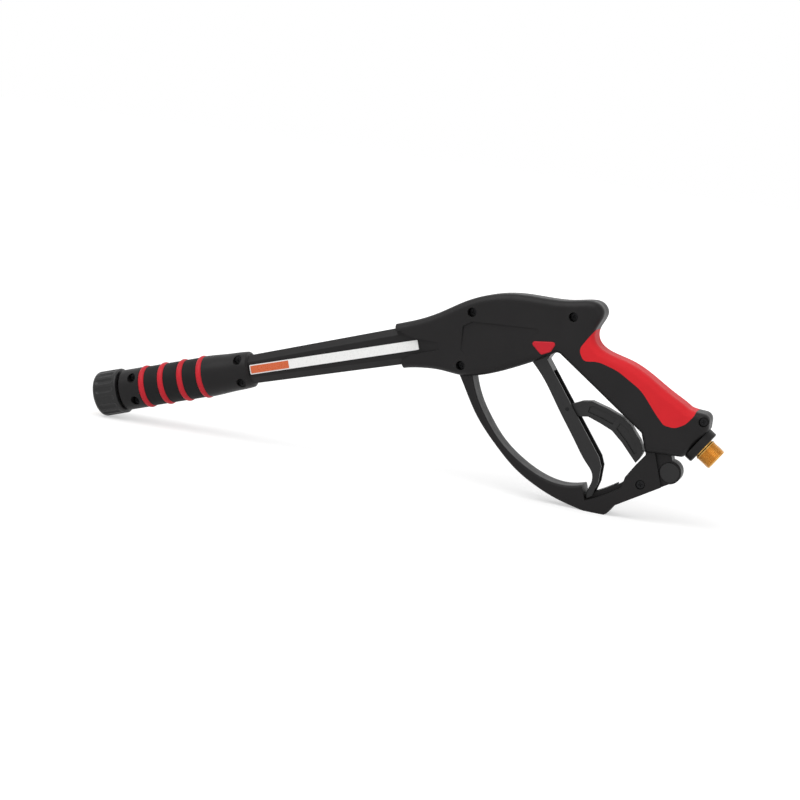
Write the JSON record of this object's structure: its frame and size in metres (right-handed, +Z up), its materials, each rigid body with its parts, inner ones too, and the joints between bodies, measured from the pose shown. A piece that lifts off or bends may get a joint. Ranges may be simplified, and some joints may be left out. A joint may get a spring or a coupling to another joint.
{
  "type": "pressure washer spray gun",
  "caption": "Long-barrelled high-pressure spray gun with a ribbed front grip, guarded trigger, folding lock lever and angled threaded hose inlet.",
  "frame": {"origin": "centre of the bounding box at floor level; the gun stands on the coupling knob's rim and the pad of the trigger guard", "axes": "+X towards the hose inlet, along the gun's length; +Y to the gun's right; +Z up; the barrel falls towards -X"},
  "size_m": [0.6308, 0.045, 0.1942],
  "materials": {
    "black_plastic": "moulded, fine grain",
    "red_soft": "soft matt",
    "red_plastic": "satin",
    "black_rubber": "matt",
    "brass": "turned",
    "steel": "drawn",
    "strip_white": "printed film",
    "strip_orange": "printed film"
  },
  "bodies": {
    "gun": {"accent_left": "red_plastic", "accent_right": "red_plastic", "casing_left": "black_plastic", "casing_right": "black_plastic", "casing_screws": "steel", "foregrip_left": "black_plastic", "foregrip_right": "black_plastic", "foregrip_screws": "steel", "gland_nut": "brass", "grip_band_1": "black_rubber", "grip_band_2": "black_rubber", "grip_band_3": "black_rubber", "grip_inlay": "red_soft", "grip_ring_1": "red_plastic", "grip_ring_2": "red_plastic", "grip_ring_3": "red_plastic", "grip_ring_4": "red_plastic", "inlet_collar": "black_plastic", "inlet_fitting": "brass", "inlet_tube": "steel", "lance_tube": "steel", "outlet_nipple": "brass", "outlet_seal": "black_rubber", "pin_seal": "black_rubber", "shroud_left": "black_plastic", "shroud_right": "black_plastic", "side_strip": "strip_white", "strip_block": "strip_orange", "tongue_bolt": "steel", "tongue_cap_left": "black_plastic", "tongue_cap_right": "black_plastic", "trigger_pin": "steel", "valve_body": "brass", "valve_seat": "steel", "valve_spring": "steel"},
    "coupling": {"coupling_knob": "black_plastic", "coupling_nut": "brass"},
    "trigger": {"trigger": "black_plastic", "lock_pin": "steel"},
    "lever": {"lock_lever": "black_plastic"},
    "push": {"push_pin": "steel", "valve_ball": "steel"}
  },
  "joints": [
    {"name": "trigger_pull", "type": "hinge", "parent": "gun", "child": "trigger", "pos_m": [0.13911, 0, 0.14721], "axis": [0, -1, 0], "range_deg": [0, 10], "stiffness_Nm_per_rad": 0.4},
    {"name": "lock_swing", "type": "hinge", "parent": "trigger", "child": "lever", "pos_m": [0.16777, 0, 0.09089], "axis": [0, 1, 0], "range_deg": [0, 28]},
    {"name": "coupling_spin", "type": "hinge", "parent": "gun", "child": "coupling", "pos_m": [-0.29507, 0, 0.02504], "axis": [0.9483, 0, 0.3175], "continuous": true},
    {"name": "valve_slide", "type": "slide", "parent": "gun", "child": "push", "axis": [-0.9483, 0, -0.3175], "range_m": [0, 0.0021]}
  ],
  "couplings": [
    {"joint": "valve_slide", "follows": "trigger_pull", "m_per_rad": 0.012}
  ]
}
